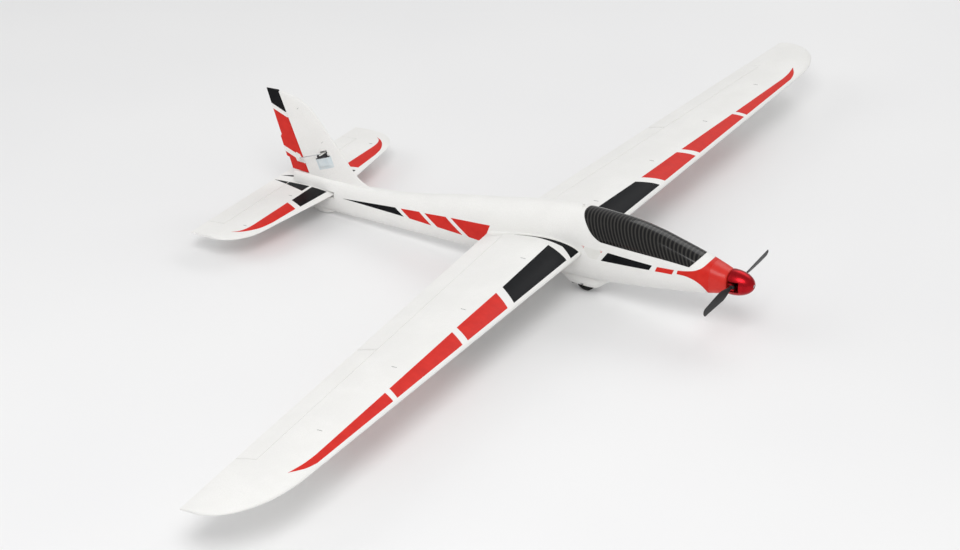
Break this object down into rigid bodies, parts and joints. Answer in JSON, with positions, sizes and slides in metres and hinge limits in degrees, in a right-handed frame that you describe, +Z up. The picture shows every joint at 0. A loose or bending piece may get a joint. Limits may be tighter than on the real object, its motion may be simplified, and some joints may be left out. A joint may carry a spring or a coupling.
{
  "type": "rc sailplane",
  "caption": "Electric model sailplane with a foam fuselage, plug-in wings with flaps and ailerons, a low tailplane, a folding propeller and one wheel.",
  "frame": {"origin": "on the ground below the middle of the overall length, at the centre plane", "axes": "+X forward along the fuselage, +Y to port along the span, +Z up; it stands on its wheel and tail skid with the wings level"},
  "size_m": [1.0583, 2.1, 0.2379],
  "materials": {
    "foam": "satin",
    "red_plastic": "satin",
    "red_anodised": "satin",
    "canopy_film": "gloss",
    "white_plastic": "satin",
    "black_plastic": "satin",
    "steel": "satin",
    "carbon": "satin",
    "plywood": "matte",
    "magnet": "gloss",
    "circuit_board": "satin",
    "heat_shrink": "gloss",
    "motor_bell": "satin",
    "rubber": "matte",
    "servo_case": "satin",
    "aluminium": "satin"
  },
  "bodies": {
    "fuselage": {"fuselage_shell_right": "foam", "fuselage_shell_left": "foam", "nose_cowl": "red_plastic", "motor_mount": "aluminium", "motor_stator": "steel", "speed_controller": "heat_shrink", "battery_tray": "plywood", "fuselage_magnets": "magnet", "wing_root_plate_right": "white_plastic", "wing_root_plate_left": "white_plastic", "wing_sockets": "circuit_board", "wheel_bracket": "black_plastic", "wheel_axle": "steel", "spar_tube": "carbon", "tailplane": "foam", "tailplane_screw": "steel", "rudder_servo": "servo_case", "elevator_servo": "servo_case"},
    "canopy": {"canopy": "canopy_film", "canopy_magnets": "magnet"},
    "rudder": {"rudder": "foam", "rudder_horn": "white_plastic"},
    "elevator": {"elevator": "foam", "elevator_horn": "white_plastic"},
    "rudder_arm": {"rudder_arm": "white_plastic"},
    "rudder_rod": {"rudder_rod": "steel"},
    "elevator_arm": {"elevator_arm": "white_plastic"},
    "elevator_rod": {"elevator_rod": "steel"},
    "wing_right": {"wing_panel_right": "foam", "wing_rib_right": "white_plastic", "wing_servos_right": "servo_case"},
    "flap_right": {"flap_right": "foam", "flap_horn_right": "white_plastic"},
    "flap_right_arm": {"flap_arm_right": "white_plastic"},
    "flap_right_rod": {"flap_rod_right": "steel"},
    "aileron_right": {"aileron_right": "foam", "aileron_horn_right": "white_plastic"},
    "aileron_right_arm": {"aileron_arm_right": "white_plastic"},
    "aileron_right_rod": {"aileron_rod_right": "steel"},
    "wing_left": {"wing_panel_left": "foam", "wing_rib_left": "white_plastic", "wing_servos_left": "servo_case"},
    "flap_left": {"flap_left": "foam", "flap_horn_left": "white_plastic"},
    "flap_left_arm": {"flap_arm_left": "white_plastic"},
    "flap_left_rod": {"flap_rod_left": "steel"},
    "aileron_left": {"aileron_left": "foam", "aileron_horn_left": "white_plastic"},
    "aileron_left_arm": {"aileron_arm_left": "white_plastic"},
    "aileron_left_rod": {"aileron_rod_left": "steel"},
    "propeller": {"motor_rotor": "motor_bell", "prop_hub": "red_anodised", "blade_pins": "steel", "spinner": "red_anodised", "spinner_screw": "steel"},
    "blade_1": {"prop_blade_1": "black_plastic"},
    "blade_2": {"prop_blade_2": "black_plastic"},
    "wheel": {"wheel_hub": "black_plastic", "tyre": "rubber"}
  },
  "joints": [
    {"name": "canopy_lift", "type": "slide", "parent": "fuselage", "child": "canopy", "axis": [-0.0461, 0, 0.9989], "range_m": [0, 0.08]},
    {"name": "rudder_hinge", "type": "hinge", "parent": "fuselage", "child": "rudder", "pos_m": [-0.45252, 0, 0.10863], "axis": [-0.3946, 0, 0.9189], "range_deg": [-30, 30]},
    {"name": "rudder_arm_turn", "type": "hinge", "parent": "fuselage", "child": "rudder_arm", "pos_m": [-0.4029, -0.0015, 0.12994], "axis": [-0.3946, 0, 0.9189], "range_deg": [-30, 30]},
    {"name": "rudder_rod_pin", "type": "hinge", "parent": "rudder_arm", "child": "rudder_rod", "pos_m": [-0.40349, -0.0155, 0.13131], "axis": [-0.3946, 0, 0.9189], "range_deg": [-30, 30]},
    {"name": "elevator_hinge", "type": "hinge", "parent": "fuselage", "child": "elevator", "pos_m": [-0.48386, 0.029, 0.0482], "axis": [0, 1, 0], "range_deg": [-25, 25]},
    {"name": "elevator_arm_turn", "type": "hinge", "parent": "fuselage", "child": "elevator_arm", "pos_m": [-0.34831, 0.0195, 0.03954], "axis": [0, 1, 0], "range_deg": [-25, 25]},
    {"name": "elevator_rod_pin", "type": "hinge", "parent": "elevator_arm", "child": "elevator_rod", "pos_m": [-0.34767, 0.021, 0.02555], "axis": [0, 1, 0], "range_deg": [-25, 25]},
    {"name": "wing_right_pull", "type": "slide", "parent": "fuselage", "child": "wing_right", "axis": [0, -1, 0], "range_m": [0, 0.4]},
    {"name": "flap_right_hinge", "type": "hinge", "parent": "wing_right", "child": "flap_right", "pos_m": [0.04202, -0.166, 0.09312], "axis": [-0.08, 0.9968, -0.0048], "range_deg": [-32, 6]},
    {"name": "flap_right_arm_turn", "type": "hinge", "parent": "wing_right", "child": "flap_right_arm", "pos_m": [0.09406, -0.16184, 0.08988], "axis": [-0.08, 0.9968, -0.0048], "range_deg": [-32, 6]},
    {"name": "flap_right_rod_pin", "type": "hinge", "parent": "flap_right_arm", "child": "flap_right_rod", "pos_m": [0.09492, -0.16335, 0.07391], "axis": [-0.08, 0.9968, -0.0048], "range_deg": [-6, 32]},
    {"name": "aileron_right_hinge", "type": "hinge", "parent": "wing_right", "child": "aileron_right", "pos_m": [0.08193, -0.663, 0.09553], "axis": [-0.08, 0.9968, -0.0048], "range_deg": [-22, 26]},
    {"name": "aileron_right_arm_turn", "type": "hinge", "parent": "wing_right", "child": "aileron_right_arm", "pos_m": [0.13388, -0.65883, 0.0943], "axis": [-0.08, 0.9968, -0.0048], "range_deg": [-22, 26]},
    {"name": "aileron_right_rod_pin", "type": "hinge", "parent": "aileron_right_arm", "child": "aileron_right_rod", "pos_m": [0.13474, -0.66035, 0.07832], "axis": [-0.08, 0.9968, -0.0048], "range_deg": [-26, 22]},
    {"name": "wing_left_pull", "type": "slide", "parent": "fuselage", "child": "wing_left", "axis": [0, 1, 0], "range_m": [0, 0.4]},
    {"name": "flap_left_hinge", "type": "hinge", "parent": "wing_left", "child": "flap_left", "pos_m": [0.04202, 0.166, 0.09312], "axis": [0.08, 0.9968, 0.0048], "range_deg": [-32, 6]},
    {"name": "flap_left_arm_turn", "type": "hinge", "parent": "wing_left", "child": "flap_left_arm", "pos_m": [0.09406, 0.16184, 0.08988], "axis": [0.08, 0.9968, 0.0048], "range_deg": [-32, 6]},
    {"name": "flap_left_rod_pin", "type": "hinge", "parent": "flap_left_arm", "child": "flap_left_rod", "pos_m": [0.09492, 0.16335, 0.07391], "axis": [0.08, 0.9968, 0.0048], "range_deg": [-6, 32]},
    {"name": "aileron_left_hinge", "type": "hinge", "parent": "wing_left", "child": "aileron_left", "pos_m": [0.08193, 0.663, 0.09553], "axis": [0.08, 0.9968, 0.0048], "range_deg": [-22, 26]},
    {"name": "aileron_left_arm_turn", "type": "hinge", "parent": "wing_left", "child": "aileron_left_arm", "pos_m": [0.13388, 0.65883, 0.0943], "axis": [0.08, 0.9968, 0.0048], "range_deg": [-22, 26]},
    {"name": "aileron_left_rod_pin", "type": "hinge", "parent": "aileron_left_arm", "child": "aileron_left_rod", "pos_m": [0.13474, 0.66035, 0.07832], "axis": [0.08, 0.9968, 0.0048], "range_deg": [-26, 22]},
    {"name": "propeller_spin", "type": "hinge", "parent": "fuselage", "child": "propeller", "pos_m": [0.45958, 0, 0.10382], "axis": [0.9989, 0, 0.0461], "continuous": true},
    {"name": "blade_1_fold", "type": "hinge", "parent": "propeller", "child": "blade_1", "pos_m": [0.48655, 0.018, 0.10507], "axis": [-0.0461, 0, 0.9989], "range_deg": [0, 62]},
    {"name": "blade_2_fold", "type": "hinge", "parent": "propeller", "child": "blade_2", "pos_m": [0.48655, -0.018, 0.10507], "axis": [0.0461, 0, -0.9989], "range_deg": [0, 62]},
    {"name": "wheel_roll", "type": "hinge", "parent": "fuselage", "child": "wheel", "pos_m": [0.18315, 0, 0.02], "axis": [0, 1, 0], "continuous": true}
  ],
  "couplings": [
    {"joint": "rudder_arm_turn", "follows": "rudder_hinge", "ratio": 1},
    {"joint": "rudder_rod_pin", "follows": "rudder_hinge", "ratio": -1},
    {"joint": "elevator_arm_turn", "follows": "elevator_hinge", "ratio": 1},
    {"joint": "elevator_rod_pin", "follows": "elevator_hinge", "ratio": -1},
    {"joint": "flap_right_arm_turn", "follows": "flap_right_hinge", "ratio": 1},
    {"joint": "flap_right_rod_pin", "follows": "flap_right_hinge", "ratio": -1},
    {"joint": "aileron_right_arm_turn", "follows": "aileron_right_hinge", "ratio": 1},
    {"joint": "aileron_right_rod_pin", "follows": "aileron_right_hinge", "ratio": -1},
    {"joint": "flap_left_arm_turn", "follows": "flap_left_hinge", "ratio": 1},
    {"joint": "flap_left_rod_pin", "follows": "flap_left_hinge", "ratio": -1},
    {"joint": "aileron_left_arm_turn", "follows": "aileron_left_hinge", "ratio": 1},
    {"joint": "aileron_left_rod_pin", "follows": "aileron_left_hinge", "ratio": -1}
  ]
}
